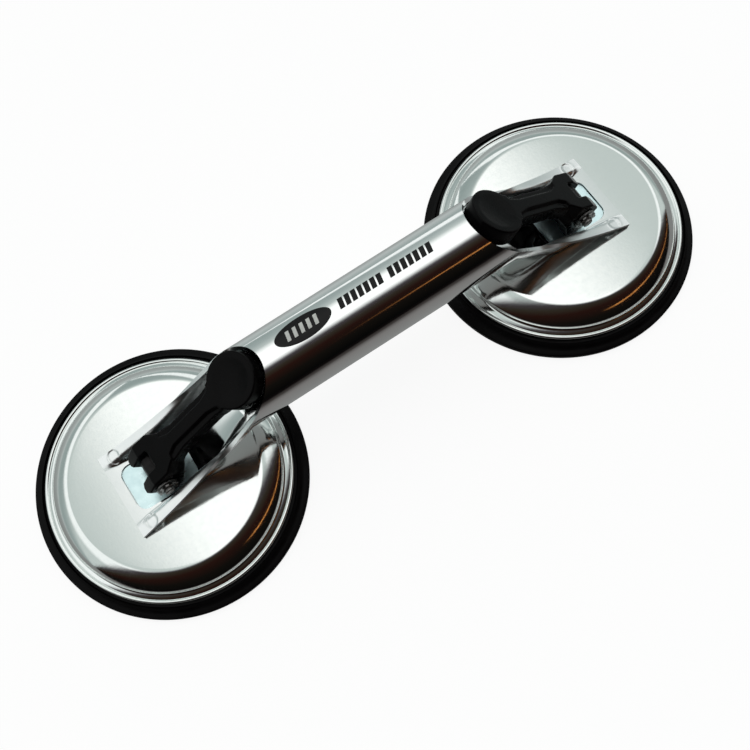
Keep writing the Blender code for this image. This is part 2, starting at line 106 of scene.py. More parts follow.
# A node with its inputs set, each from a value or from another node's output.
def addNode(tree, kind, settings=None, **inputs):
    node = tree.nodes.new(kind)
    for name, value in (settings or {}).items():
        setattr(node, name, value)
    for name, value in inputs.items():
        key = int(name[2:]) if name.startswith("in") and name[2:].isdigit() else name.replace("_", " ")
        socket = node.inputs[key]
        if isinstance(value, bpy.types.NodeSocket):
            tree.links.new(value, socket)
        else:
            socket.default_value = value
    return node


def addRamp(tree, factor, stops, interpolation="LINEAR"):
    node = addNode(tree, "ShaderNodeValToRGB", Fac=factor)
    ramp = node.color_ramp
    ramp.interpolation = interpolation
    while len(ramp.elements) < len(stops):
        ramp.elements.new(0.5)
    for element, (place, color) in zip(ramp.elements, stops):
        element.position = place
        element.color = (*color, 1.0)
    return node.outputs["Color"]


def maths(tree, operation, first, second=0.0, third=0.0):
    settings = {"operation": operation}
    return addNode(tree, "ShaderNodeMath", settings, in0=first, in1=second, in2=third).outputs[0]


def remap(tree, value, low, high, newLow=0.0, newHigh=1.0):
    node = addNode(tree, "ShaderNodeMapRange", {"interpolation_type": "SMOOTHSTEP"}, Value=value)
    for name, number in (("From Min", low), ("From Max", high), ("To Min", newLow), ("To Max", newHigh)):
        node.inputs[name].default_value = number
    return node.outputs[0]


# Mixes two colours, each a socket or three numbers.
def mixColor(tree, factor, first, second):
    node = addNode(tree, "ShaderNodeMix", {"data_type": "RGBA"}, in0=factor)
    for index, color in ((6, first), (7, second)):
        if isinstance(color, bpy.types.NodeSocket):
            tree.links.new(color, node.inputs[index])
        else:
            node.inputs[index].default_value = (*color, 1.0)
    return node.outputs[2]


cameraSettings = {
    "place": (-0.0654, -0.1076, 0.3066),
    "turn": (12.546, 3.151, -33.276),
    "lens": 35.12,
    "shift": (0.0459, 0.1412),
}


def makeCamera(settings):
    data = bpy.data.cameras.new("camera")
    data.lens = settings["lens"]
    data.sensor_width = 36.0
    data.shift_x, data.shift_y = settings["shift"]
    data.clip_start = 0.01
    camera = bpy.data.objects.new("camera", data)
    camera.location = settings["place"]
    camera.rotation_euler = [math.radians(angle) for angle in settings["turn"]]
    bpy.context.scene.collection.objects.link(camera)
    bpy.context.scene.camera = camera


# What the camera sees of the floor is near white paper. The steel mirrors it darker, and darkest
# far out on the near side, as the room behind the camera is dark: to every other ray the floor is a painted
# glow, a ramp of painted shade along Y. Distances in metres.
floorSettings = {
    "radius": 4.0,
    "color": (0.80, 0.80, 0.80),
    "glow": 1.12,
    "glowShare": 0.80,
    "mirrored": [
        (-0.45, (0.004, 0.003, 0.003)),
        (-0.20, (0.055, 0.048, 0.045)),
        (-0.10, (0.21, 0.20, 0.195)),
        (0.02, (0.27, 0.28, 0.275)),
        (0.16, (0.50, 0.54, 0.53)),
        (0.50, (0.42, 0.47, 0.46)),
    ],
}


def makeFloor(settings):
    bm = bmesh.new()
    bmesh.ops.create_circle(bm, cap_ends=True, segments=96, radius=settings["radius"])
    mesh = bpy.data.meshes.new("studioFloor")
    bm.to_mesh(mesh)
    bm.free()
    finish = bpy.data.materials.new("studioFloor")
    finish.use_nodes = True
    tree = finish.node_tree
    tree.nodes.clear()
    paper = addNode(tree, "ShaderNodeBsdfDiffuse", Color=(*settings["color"], 1.0))
    glow = addNode(tree, "ShaderNodeEmission", Strength=settings["glow"])
    seen = addNode(tree, "ShaderNodeLightPath").outputs["Is Camera Ray"]
    share = settings["glowShare"]
    shown = addNode(tree, "ShaderNodeMixShader", in0=share, in1=paper.outputs[0], in2=glow.outputs[0])
    place = addNode(tree, "ShaderNodeTexCoord").outputs["Object"]
    depth = addNode(tree, "ShaderNodeSeparateXYZ", Vector=place).outputs["Y"]
    stops = settings["mirrored"]
    first, last = stops[0][0], stops[-1][0]
    along = maths(tree, "MULTIPLY_ADD", depth, 1 / (last - first), -first / (last - first))
    shade = addRamp(tree, along, [((y - first) / (last - first), color) for y, color in stops])
    # Painted shade: seen in the steel, the floor glows with this ramp, darker towards -Y.
    mirrored = addNode(tree, "ShaderNodeEmission", Color=shade)
    mixed = addNode(tree, "ShaderNodeMixShader", in0=seen, in1=mirrored.outputs[0], in2=shown.outputs[0])
    addNode(tree, "ShaderNodeOutputMaterial", Surface=mixed.outputs[0])
    newPiece("studioFloor", mesh, finish)


# Angles run from straight up, positive towards +Y. Across is the slope of a direction in X. The far
# side of the room is bright, the near side dark with a short warm strip. A white panel hangs over the
# object, with a wall of light further out on each side.
studioSettings = {
    "backdrop": (0.98, 0.98, 0.98),
    "panel": (1.25, 1.26, 1.24),
    "panelMiddle": 0.20,
    "panelEdge": (0.30, 0.47),
    "panelDepth": (28.0, 50.0),
    "sideWall": (1.05, 1.08, 1.07),
    "sideWallStart": (0.68, 0.95),
    "sideWallEnd": (1.9, 2.7),
    "far": [
        (0.0, (0.62, 0.68, 0.66)),
        (40.0, (0.60, 0.66, 0.64)),
        (62.0, (0.38, 0.44, 0.43)),
        (78.0, (0.32, 0.38, 0.37)),
        (90.0, (0.36, 0.42, 0.41)),
    ],
    "near": [
        (-90.0, (0.002, 0.002, 0.002)),
        (-63.0, (0.006, 0.005, 0.004)),
        (-40.0, (0.020, 0.007, 0.005)),
        (-28.0, (0.030, 0.024, 0.017)),
        (-19.0, (0.052, 0.044, 0.048)),
        (-12.0, (0.22, 0.22, 0.225)),
    ],
    "nearEdge": (-17.0, -3.0),
    "strip": (0.80, 0.31, 0.08),
    "stripTurn": (-55.6, -54.0, -53.2, -51.8),
    "stripAcross": (0.30, 0.8),
}


def makeStudioLight(settings):
    world = bpy.data.worlds.new("studio")
    bpy.context.scene.world = world
    world.use_nodes = True
    tree = world.node_tree
    tree.nodes.clear()
    direction = addNode(tree, "ShaderNodeTexCoord").outputs["Generated"]
    x, y, z = addNode(tree, "ShaderNodeSeparateXYZ", Vector=direction).outputs
    height = maths(tree, "MAXIMUM", z, 0.02)
    degrees = maths(tree, "DEGREES", maths(tree, "ARCTAN2", y, height))
    place = maths(tree, "MULTIPLY_ADD", degrees, 1 / 180, 0.5)
    far = addRamp(tree, place, [(angle / 180 + 0.5, color) for angle, color in settings["far"]])
    near = addRamp(tree, place, [(angle / 180 + 0.5, color) for angle, color in settings["near"]])
    across = maths(tree, "DIVIDE", x, height)
    sideways = maths(tree, "ABSOLUTE", maths(tree, "SUBTRACT", across, settings["panelMiddle"]))
    panel = remap(tree, sideways, *settings["panelEdge"], 1.0, 0.0)
    panel = maths(tree, "MULTIPLY", panel, remap(tree, degrees, *settings["panelDepth"], 1.0, 0.0))
    wall = remap(tree, sideways, *settings["sideWallStart"])
    wall = maths(tree, "MULTIPLY", wall, remap(tree, sideways, *settings["sideWallEnd"], 1.0, 0.0))
    room = mixColor(tree, panel, far, settings["panel"])
    room = mixColor(tree, wall, room, settings["sideWall"])
    first, second, third, fourth = settings["stripTurn"]
    lower, upper = remap(tree, degrees, first, second), remap(tree, degrees, third, fourth, 1.0, 0.0)
    strip = maths(tree, "MULTIPLY", lower, upper)
    strip = maths(tree, "MULTIPLY", strip, remap(tree, across, *settings["stripAcross"]))
    near = mixColor(tree, strip, near, settings["strip"])
    room = mixColor(tree, remap(tree, degrees, *settings["nearEdge"]), near, room)
    light = addNode(tree, "ShaderNodeBackground", Color=room)
    backdrop = addNode(tree, "ShaderNodeBackground", Color=(*settings["backdrop"], 1.0))
    seen = addNode(tree, "ShaderNodeLightPath").outputs["Is Camera Ray"]
    mixed = addNode(tree, "ShaderNodeMixShader", in0=seen, in1=light.outputs[0], in2=backdrop.outputs[0])
    addNode(tree, "ShaderNodeOutputWorld", Surface=mixed.outputs[0])
    bpy.context.scene.view_settings.view_transform = "Standard"


makeCamera(cameraSettings)
makeFloor(floorSettings)
makeStudioLight(studioSettings)
print("camera, floor and studio light ready")


def newFinish(name, color, metallic, specular=0.5):
    finish = bpy.data.materials.new(name)
    finish.use_nodes = True
    shader = finish.node_tree.nodes["Principled BSDF"]
    shader.inputs["Base Color"].default_value = (*color, 1.0)
    shader.inputs["Metallic"].default_value = metallic
    shader.inputs["Specular IOR Level"].default_value = specular
    return finish, finish.node_tree, shader


def noise(tree, scale, detail=3.0, stretch=(1, 1, 1), turn=0.0):
    place = addNode(tree, "ShaderNodeTexCoord").outputs["Object"]
    mapped = addNode(tree, "ShaderNodeMapping", Vector=place)
    mapped.inputs["Scale"].default_value = stretch
    mapped.inputs["Rotation"].default_value = (0, 0, turn)
    texture = addNode(tree, "ShaderNodeTexNoise", Vector=mapped.outputs[0], Scale=scale, Detail=detail)
    return texture.outputs["Fac"]


def addBump(tree, shader, height, strength, distance, under=None):
    bump = addNode(tree, "ShaderNodeBump", Strength=strength, Distance=distance, Height=height)
    if under:
        tree.links.new(under, bump.inputs["Normal"])
    tree.links.new(bump.outputs[0], shader.inputs["Normal"])
    return bump.outputs[0]


peelDepth, hairDepth, grainDepth = 0.0002, 0.00002, 0.00008  # metres, at full strength


# Plated steel: hairline scratches, soft cloudy variation and a slight orange peel. Where dullFrom is
# given, the walls and flanges of the pressed feet are duller than the rest.
def platedFinish(name, settings):
    finish, tree, shader = newFinish(name, settings["color"], 1.0)
    cloud = noise(tree, settings["cloudScale"], 4.0)
    hairs = noise(tree, settings["hairScale"], 2.0, settings["hairStretch"], settings["hairTurn"])
    low, high = settings["roughness"]
    smudge = remap(tree, cloud, 0.35, 0.65, low, high)
    rough = maths(tree, "MULTIPLY_ADD", hairs, settings["hairRoughness"], smudge)
    if "dullFrom" in settings:
        place = addNode(tree, "ShaderNodeTexCoord").outputs["Object"]
        x, y, z = addNode(tree, "ShaderNodeSeparateXYZ", Vector=place).outputs
        reach = maths(tree, "ABSOLUTE", x)
        wall = maths(tree, "MULTIPLY_ADD", reach, settings["wallSpread"], settings["wallPlace"])
        beyond = maths(tree, "SUBTRACT", maths(tree, "ABSOLUTE", y), wall)
        onFoot, onWall = remap(tree, reach, *settings["dullFrom"]), remap(tree, beyond, *settings["wallBlend"])
        dull = maths(tree, "MULTIPLY", onFoot, onWall)
        rough = maths(tree, "MULTIPLY_ADD", dull, settings["dullness"], rough)
    tree.links.new(rough, shader.inputs["Roughness"])
    tint = addRamp(tree, cloud, [(0.3, settings["color"]), (0.7, settings["cloudColor"])])
    tree.links.new(tint, shader.inputs["Base Color"])
    peel = addBump(tree, shader, noise(tree, settings["peelScale"], 2.0), settings["peel"], peelDepth)
    addBump(tree, shader, hairs, settings["hairs"], hairDepth, peel)
    return finish


# Moulded black: fine grain, faint flow clouds and slightly polished high spots.
def mouldedFinish(name, settings):
    finish, tree, shader = newFinish(name, settings["color"], 0.0, settings["specular"])
    cloud = noise(tree, settings["cloudScale"], 4.0)
    low, high = settings["roughness"]
    tree.links.new(remap(tree, cloud, 0.3, 0.7, low, high), shader.inputs["Roughness"])
    tint = addRamp(tree, cloud, [(0.3, settings["color"]), (0.75, settings["cloudColor"])])
    tree.links.new(tint, shader.inputs["Base Color"])
    addBump(tree, shader, noise(tree, settings["grainScale"], 2.0), settings["grain"], grainDepth)
    return finish


finishSettings = {
    "tubeChrome": {
        "color": (0.86, 0.875, 0.87), "cloudColor": (0.82, 0.84, 0.84), "roughness": (0.045, 0.075),
        "cloudScale": 90, "hairScale": 900, "hairStretch": (0.04, 1, 1), "hairTurn": 0.0,
        "hairRoughness": 0.04, "hairs": 0.12, "peelScale": 420, "peel": 0.03,
        "dullFrom": (0.050, 0.070), "dullness": 0.22,
        "wallPlace": 0.0058, "wallSpread": 0.062, "wallBlend": (-0.0006, 0.0008),
    },
    "plateSatin": {
        "color": (0.82, 0.845, 0.83), "cloudColor": (0.79, 0.82, 0.81), "roughness": (0.035, 0.07),
        "cloudScale": 420, "hairScale": 1400, "hairStretch": (0.10, 1, 1), "hairTurn": 0.6,
        "hairRoughness": 0.07, "hairs": 0.16, "peelScale": 900, "peel": 0.03,
    },
    "wearZinc": {
        "color": (0.78, 0.95, 0.97), "cloudColor": (0.70, 0.88, 0.91), "roughness": (0.24, 0.32),
        "cloudScale": 300, "hairScale": 1800, "hairStretch": (0.1, 1, 1), "hairTurn": 0.0,
        "hairRoughness": 0.08, "hairs": 0.25, "peelScale": 900, "peel": 0.05,
    },
    "hardwareSteel": {
        "color": (0.30, 0.29, 0.285), "cloudColor": (0.18, 0.175, 0.17), "roughness": (0.20, 0.34),
        "cloudScale": 500, "hairScale": 2500, "hairStretch": (1, 0.2, 1), "hairTurn": 0.0,
        "hairRoughness": 0.10, "hairs": 0.30, "peelScale": 1200, "peel": 0.10,
    },
    "studSteel": {
        "color": (0.014, 0.013, 0.0135), "cloudColor": (0.028, 0.026, 0.026), "roughness": (0.28, 0.42),
        "cloudScale": 500, "hairScale": 2200, "hairStretch": (1, 1, 0.2), "hairTurn": 0.0,
        "hairRoughness": 0.10, "hairs": 0.30, "peelScale": 1200, "peel": 0.10,
    },
}
mouldedSettings = {
    "leverPlastic": {
        "color": (0.0022, 0.0019, 0.0021), "cloudColor": (0.0040, 0.0036, 0.0040), "roughness": (0.22, 0.34),
        "cloudScale": 180, "grainScale": 2200, "grain": 0.07, "specular": 0.06,
    },
    "padRubber": {
        "color": (0.0022, 0.0018, 0.0021), "cloudColor": (0.0045, 0.0039, 0.0044), "roughness": (0.38, 0.54),
        "cloudScale": 120, "grainScale": 1600, "grain": 0.15, "specular": 0.08,
    },
    "printBlack": {
        "color": (0.0035, 0.0032, 0.0035), "cloudColor": (0.008, 0.0075, 0.008), "roughness": (0.30, 0.42),
        "cloudScale": 700, "grainScale": 4000, "grain": 0.05, "specular": 0.2,
    },
    "printSilver": {
        "color": (0.72, 0.73, 0.70), "cloudColor": (0.62, 0.63, 0.60), "roughness": (0.30, 0.45),
        "cloudScale": 700, "grainScale": 4000, "grain": 0.05, "specular": 0.5,
    },
}
finishes = {name: platedFinish(name, settings) for name, settings in finishSettings.items()}
finishes.update({name: mouldedFinish(name, settings) for name, settings in mouldedSettings.items()})
print("finishes ready:", ", ".join(finishes))


def addGroupSocket(tree, name, direction, kind, value=None):
    socket = tree.interface.new_socket(name, in_out=direction, socket_type=kind)
    if value is not None:
        socket.default_value = value
    return socket


# Turns the profile that it is given, drawn in X and -Y, about the Z axis.
def makeTurnTree():
    tree = bpy.data.node_groups.new("turnedProfile", "GeometryNodeTree")
    addGroupSocket(tree, "Profile", "INPUT", "NodeSocketGeometry")
    addGroupSocket(tree, "Steps", "INPUT", "NodeSocketInt", 64)
    addGroupSocket(tree, "Finish", "INPUT", "NodeSocketMaterial")
    addGroupSocket(tree, "Turned", "OUTPUT", "NodeSocketGeometry")
    given = addNode(tree, "NodeGroupInput")
    profile = addNode(tree, "GeometryNodeMeshToCurve", Mesh=given.outputs["Profile"])
    ring = addNode(tree, "GeometryNodeCurvePrimitiveCircle", Resolution=given.outputs["Steps"])
    ring.inputs["Radius"].default_value = 1e-6  # all but a point, so that X in the profile is the radius
    sweep = addNode(tree, "GeometryNodeCurveToMesh", Curve=ring.outputs["Curve"])
    tree.links.new(profile.outputs["Curve"], sweep.inputs["Profile Curve"])
    solid = addNode(tree, "GeometryNodeMergeByDistance", Geometry=sweep.outputs["Mesh"], Distance=3e-6)
    solid = addNode(tree, "GeometryNodeRealizeInstances", Geometry=solid.outputs["Geometry"])
    coated = addNode(tree, "GeometryNodeSetMaterial", Geometry=solid.outputs["Geometry"])
    tree.links.new(given.outputs["Finish"], coated.inputs["Material"])
    addNode(tree, "NodeGroupOutput", Turned=coated.outputs["Geometry"])
    return tree


def setModifierInput(modifier, name, value):
    for item in modifier.node_group.interface.items_tree:
        if item.name == name and item.in_out == "INPUT":
            modifier[item.identifier] = value


# A closed solid of revolution about a vertical axis at x, from (radius, height) points in millimetres.
def turnPiece(name, outline, finish, x=0.0, steps=192, smoothAngle=35):
    count = len(outline)
    points = [(radius * mm, -height * mm, 0) for radius, height in outline]
    mesh = bpy.data.meshes.new(name)
    mesh.from_pydata(points, [(i, (i + 1) % count) for i in range(count)], [])
    piece = newPiece(name, mesh)
    modifier = piece.modifiers.new("turn", "NODES")
    modifier.node_group = turnTree
    setModifierInput(modifier, "Steps", steps)
    setModifierInput(modifier, "Finish", finish)
    bakeModifiers(piece)
    bm = bmesh.new()
    bm.from_mesh(piece.data)
    bmesh.ops.translate(bm, vec=(x, 0, 0), verts=bm.verts)
    piece.data = meshFrom(bm, name, smoothAngle)
    piece.data.materials.append(finish)
    return piece


plateSettings = {
    "top": 14.5,
    "sheet": 1.2,
    "flatRadius": 39.9,
    "bends": ((5.5, 22.0), (20.0, 46.0), (2.0, 78.0)),  # radius of each bend, slope where it ends
    "hollowRadius": 1.5,
    "hollowSlope": 16.0,
    "ledge": ((0.95, 0.31), (1.6, 0.70)),  # reach and drop of each point beyond the hollow
    "beadRadius": 0.85,
    "beadReach": 3.55,
    "beadDrop": 8.15,
    "holeRadius": 4.4,
    "holeEdge": 0.15,
    "flatStart": 4.6,
    "flatSteps": 12,
}


# The shoulder from the flat down to its foot, offset inwards.
def shoulderPoints(offset, steps=12):
    size = plateSettings
    points = [(size["flatRadius"], size["top"] - offset)]
    start = 0.0
    for bend, end in size["bends"]:
        startSlope = math.radians(start)
        radius, height = points[-1]
        for i in range(1, steps + 1):
            slope = math.radians(between(start, end, i / steps))
            reach = (bend - offset) * (math.sin(slope) - math.sin(startSlope))
            drop = (bend - offset) * (math.cos(startSlope) - math.cos(slope))
            points.append((radius + reach, height - drop))
        start = end
    return points


def beadCentre():
    size = plateSettings
    return shoulderPoints(0)[-1][0] + size["beadReach"], size["top"] - size["beadDrop"]


# The hollow ring at the shoulder's foot, which opens on to a narrow ledge.
def hollowPoints(steps=10):
    size = plateSettings
    radius, height = shoulderPoints(0)[-1]
    slope = math.radians(size["bends"][-1][1])
    bend = size["hollowRadius"]
    points = []
    for i in range(1, steps + 1):
        angle = between(slope, math.radians(size["hollowSlope"]), i / steps)
        reach = bend * (math.sin(slope) - math.sin(angle))
        points.append((radius + reach, height - bend * (math.cos(angle) - math.cos(slope))))
    return points


def makeCupPlate(side):
    size = plateSettings
    hollow = hollowPoints()
    hole, top, edge, steps = size["holeRadius"], size["top"], size["holeEdge"], size["flatSteps"]
    outline = [(hole, top - edge), (hole + edge, top)]
    outline += [(between(size["flatStart"], size["flatRadius"], i / steps), top) for i in range(1, steps)]
    outline += shoulderPoints(0) + hollow
    outline += [(hollow[-1][0] + reach, hollow[-1][1] - drop) for reach, drop in size["ledge"]]
    outline += arcPoints(beadCentre(), size["beadRadius"], 118, -130, 26)
    outline += [(hollow[-1][0], hollow[-1][1] - size["sheet"])]
    outline += shoulderPoints(size["sheet"])[::-1]
    outline += [(hole, top - size["sheet"])]
    plate = turnPiece(side + "CupPlate", outline, finishes["plateSatin"], cups[side])
    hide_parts(side + "_cup_plate")
    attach(plate, "frame")


padSettings = {
    "radius": 60.0,
    "lipFace": 9.4,
    "lipRound": 0.8,
    "lipEdge": 2.0,
    "lipBevel": 1.6,
    "lipInner": (0.8, 0.5),  # run and rise of the lip's inner edge
    "flareRadius": 3.2,
    "flareRise": 4.15,
    "stripWidth": 1.6,
    "shelfRound": 0.6,
    "cavityDepth": 3.6,
    "webThickness": 2.8,
    "webOuter": 34.0,
    "webSlope": (2.0, 0.8),
    "bossRadius": 20.0,
    "bossSlip": 0.4,
    "clearance": 0.3,
    "bossCrest": 17.5,
    "bossRound": 0.6,
    "crestRound": 0.5,
    "insertRadius": 14.0,
    "insertFloor": 8.3,
    "crestHeight": 10.9,
}


def makeRubberPad(side):
    size = padSettings
    beadX, beadZ = beadCentre()
    shelf = beadZ - plateSettings["beadRadius"] - size["clearance"]
    strip = beadX + plateSettings["beadRadius"] + size["stripWidth"]
    inner = size["bossRadius"] + size["bossSlip"]
    lipInner = size["radius"] - size["lipFace"] - size["lipBevel"]
    lipRun, lipRise = size["lipInner"]
    web = size["cavityDepth"] + size["webThickness"]
    under = shoulderPoints(plateSettings["sheet"] + size["clearance"], 6)[::-1]
    outline = [(inner, size["cavityDepth"])]
    outline += [(between(inner, lipInner, 0.5), between(size["cavityDepth"], lipRise, 0.6))]
    outline += [(lipInner, lipRise), (lipInner + lipRun, 0.0), (size["radius"] - size["lipRound"], 0.0)]
    outline += arcPoints((size["radius"] - size["lipRound"], size["lipRound"]), size["lipRound"], -75, 0, 5)
    outline += arcPoints((size["radius"] - size["lipRound"], size["lipEdge"]), size["lipRound"], 0, 70, 5)
    flare, bend = size["flareRadius"], size["shelfRound"]
    outline += arcPoints((strip + flare, size["lipEdge"] + size["flareRise"]), flare, -100, -178, 8)
    outline += arcPoints((strip - bend, shelf - bend), bend, 0, 90, 5)
    outline += [(under[0][0], shelf)] + under
    slopeRun, slopeRise = size["webSlope"]
    outline += [(size["webOuter"] + slopeRun, under[-1][1]), (size["webOuter"], web + slopeRise), (inner, web)]
    pad = turnPiece(side + "RubberPad", outline, finishes["padRubber"], cups[side])
    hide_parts(side + "_rubber_pad")
    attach(pad, "frame")


def makePadCentre(side):
    size = padSettings
    bottom = size["cavityDepth"]
    pocket = size["insertRadius"] + size["clearance"]
    bend, crest = size["bossRound"], size["crestRound"]
    outline = [(0, bottom), (size["bossRadius"] - bend, bottom)]
    outline += arcPoints((size["bossRadius"] - bend, bottom + bend), bend, -70, 0, 4)
    outline += [(size["bossRadius"], bottom + size["webThickness"])]
    outline += arcPoints((size["bossCrest"] - crest, size["crestHeight"] - crest), crest, 30, 90, 4)
    outline += [(pocket, size["crestHeight"]), (pocket, size["insertFloor"]), (0, size["insertFloor"])]
    boss = turnPiece(side + "PadCentre", outline, finishes["padRubber"], cups[side], 96)
    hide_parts(side + "_pad_centre")
    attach(boss, side + "_stud")


turnTree = makeTurnTree()
for side in cups:
    makeCupPlate(side)
    makeRubberPad(side)
    makePadCentre(side)
print("cup plates and rubber pads turned")

handleSettings = {
    "radius": 14.2,
    "axisHeight": 46.4,
    "sheet": 1.6,
    "footHeight": 15.6,
    "toeReach": 20.0,
    "toeHalfWidth": 19.7,
    "kinkReach": 41.3,
    "kinkRise": 1.5,
    "mouthAngle": 40.0,
    "rimEarlyRise": 0.55,
    "floorFlat": 13.0,
    "floorEnd": 51.3,
    "floorEase": 0.12,
    "wallStart": 0.68,
    "flangeStart": 0.79,
    "wallRise": 0.985,
    "wallFoot": 2.2,
    "wallTop": 1.1,
    "roundingStart": 0.45,
    "weldPlace": (-13.5, 16.3),
    "weldRadius": 2.9,
    "weldDepth": 0.30,
    "weldEdge": 0.7,
    "weldRidge": (0.2, 0.4, 0.10),  # reach beyond the dish, width and height
    "notch": (-15.6, 13.4, 10.6, 4.6),  # outer end, inner end, half width and corner
    "notchCut": (1.0, 2.0),  # how far its cutter runs below the plate's top and above the foot
    "sectionSteps": 104,
    "weldSections": (-7.0, 27),  # where they end, and how many
    "rampSections": (-6.0, 45),  # where they start, and how many
    "mouthSections": 22,
    "middleSections": 9,
}


# Points at even distances along a bent line whose corners are rounded.
def filletedLine(corners, radii, count):
    line = [np.array(corners[0])]
    for before, corner, after, radius in zip(corners, corners[1:], corners[2:], radii):
        before, corner, after = np.array(before), np.array(corner), np.array(after)
        inward, outward = before - corner, after - corner
        inLength, outLength = np.linalg.norm(inward), np.linalg.norm(outward)
        inward, outward = inward / inLength, outward / outLength
        bend = math.pi - math.acos(np.clip(np.dot(inward, outward), -1.0, 1.0))
        trim = min(radius * math.tan(bend / 2), inLength * 0.48, outLength * 0.48)
        for i in range(9):
            share = i / 8
            start, end = corner + inward * trim, corner + outward * trim
            line.append((1 - share) ** 2 * start + 2 * share * (1 - share) * corner + share**2 * end)
    line.append(np.array(corners[-1]))
    line = np.array(line)
    lengths = np.concatenate([[0.0], np.cumsum(np.linalg.norm(np.diff(line, axis=0), axis=1))])
    places = np.linspace(0, lengths[-1], count)
    return np.column_stack([np.interp(places, lengths, line[:, k]) for k in (0, 1)])


# From 0 to 1 on a straight ramp that bends in and out.
def easedRamp(low, high, value, ease):
    share = min(max((value - low) / (high - low), 0.0), 1.0)
    if share > 0.5:
        return 1.0 - easedRamp(low, high, low + high - value, ease)
    return (share * share / (2 * ease) if share < ease else share - ease / 2) / (1 - ease)


# Half of the wall's middle line at one section, from the floor's middle out to the rim.
def handleHalfSection(reach, rimAngle, count):
    size = handleSettings
    angles = np.linspace(0, rimAngle, count)
    radius, axis = size["radius"], size["axisHeight"]
    bore = np.column_stack([radius * np.sin(angles), axis - radius * np.cos(angles)])
    if reach >= size["kinkReach"]:
        return bore
    along = (reach + size["toeReach"]) / (size["kinkReach"] + size["toeReach"])
    kinkWidth, kinkHeight = bore[-1]
    halfWidth = between(size["toeHalfWidth"], kinkWidth, along)
    rimHeight = between(size["footHeight"], kinkHeight, along * between(size["rimEarlyRise"], 1.0, along))
    ramp, ease = (size["floorFlat"], size["floorEnd"]), size["floorEase"]
    rise = easedRamp(*ramp, reach, ease) / easedRamp(*ramp, size["kinkReach"], ease)
    floor = between(size["footHeight"], axis - radius, rise)
    wallTop = between(floor, rimHeight, size["wallRise"])
    corners = [
        (0.0, floor),
        (size["wallStart"] * halfWidth, floor),
        (size["flangeStart"] * halfWidth, wallTop),
        (halfWidth, rimHeight),
    ]
    pressed = filletedLine(corners, (size["wallFoot"], size["wallTop"]), count)
    widths = bore[:, 0] / kinkWidth
    heights = (bore[:, 1] - bore[0, 1]) / (kinkHeight - bore[0, 1])
    rounded = np.column_stack([halfWidth * widths, between(floor, rimHeight, heights)])
    return between(pressed, rounded, smoothStep(size["roundingStart"], 1.0, along))


# A shallow dish with a faint ridge round it, at each spot weld.
def weldDip(reach, points):
    size = handleSettings
    beyond, width, height = size["weldRidge"]
    distance = np.hypot(reach - size["weldPlace"][0], np.abs(points[:, 0]) - size["weldPlace"][1])
    dish = smoothStep(size["weldRadius"], size["weldRadius"] - size["weldEdge"], distance)
    ridge = np.exp(-(((distance - size["weldRadius"] - beyond) / width) ** 2))
    return ridge * height - dish * size["weldDepth"]


# The two skins of one section, outer then inner, as (y, z) rows from rim to rim.
def handleSkins(reach, rimAngle):
    size = handleSettings
    half = handleHalfSection(reach, rimAngle, size["sectionSteps"] // 2 + 1)
    middle = np.vstack([half[:0:-1] * (-1, 1), half])
    run = np.gradient(middle, axis=0)
    run /= np.linalg.norm(run, axis=1)[:, None]
    normal = np.column_stack([run[:, 1], -run[:, 0]]) * size["sheet"] / 2
    middle[:, 1] += weldDip(reach, middle)
    return middle + normal, middle - normal


# Where each section stands, its rim's angle round the tube, and whether it closes on itself.
def handleStations():
    size = handleSettings
    kinkAngle = math.pi / 2 + math.asin(size["kinkRise"] / size["radius"])
    weldEnd, weldCount = size["weldSections"]
    rampStart, rampCount = size["rampSections"]
    welded = np.linspace(-size["toeReach"], weldEnd, weldCount)
    ramped = np.linspace(rampStart, size["kinkReach"], rampCount)[:-1]
    stations = [(reach, kinkAngle, False) for reach in np.concatenate([welded, ramped])]
    mouthSteps = size["mouthSections"]
    for i in range(mouthSteps + 1):
        angle = between(kinkAngle, math.pi, i / mouthSteps)
        rise = -size["radius"] * math.cos(angle) - size["kinkRise"]
        reach = size["kinkReach"] + rise / math.tan(math.radians(size["mouthAngle"]))
        stations.append((reach, angle, i == mouthSteps))
    return stations


def handleShell():
    halfSpan = (cups["right"] - cups["left"]) / 2 / mm
    stations = [(reach - halfSpan, reach, angle, closed) for reach, angle, closed in handleStations()]
    lastReach = stations[-1][1]
    places = np.linspace(lastReach - halfSpan, 0, handleSettings["middleSections"])[1:]
    stations += [(x, lastReach + 1, math.pi, True) for x in places]
    stations += [(-x, reach, angle, closed) for x, reach, angle, closed in reversed(stations[:-1])]
    bm = bmesh.new()
    skins = []
    for x, reach, angle, closed in stations:
        rows = []
        for skin in handleSkins(reach, angle):
            row = [bm.verts.new((x * mm, y * mm, z * mm)) for y, z in skin]
            if closed:
                bm.verts.remove(row[-1])
                row[-1] = row[0]
            rows.append(row)
        skins.append(rows)
    steps = handleSettings["sectionSteps"]
    for (outer, inner), (outerNext, innerNext) in zip(skins, skins[1:]):
        for i in range(steps):
            bm.faces.new((outer[i], outer[i + 1], outerNext[i + 1], outerNext[i]))
            bm.faces.new((inner[i], innerNext[i], innerNext[i + 1], inner[i + 1]))
        if outer[0] is not outer[-1] or outerNext[0] is not outerNext[-1]:
            for i in (0, -1):
                bm.faces.new((outer[i], outerNext[i], innerNext[i], inner[i]))
    for outer, inner in (skins[0], skins[-1]):
        for i in range(steps):
            bm.faces.new((outer[i], outer[i + 1], inner[i + 1], inner[i]))
    return bm


# Extrudes an outline in X and one other axis into a closed prism, in metres.
def prismMesh(name, outline, low, high, across):
    bm = bmesh.new()
    loops = []
    for level in (low, high):
        ring = [(a, level, b) if across == "Y" else (a, b, level) for a, b in outline]
        loops.append([bm.verts.new([value * mm for value in point]) for point in ring])
    for loop in loops:
        bm.faces.new(loop)
    for i in range(len(outline)):
        j = (i + 1) % len(outline)
        bm.faces.new((loops[0][i], loops[0][j], loops[1][j], loops[1][i]))
    return meshFrom(bm, name)


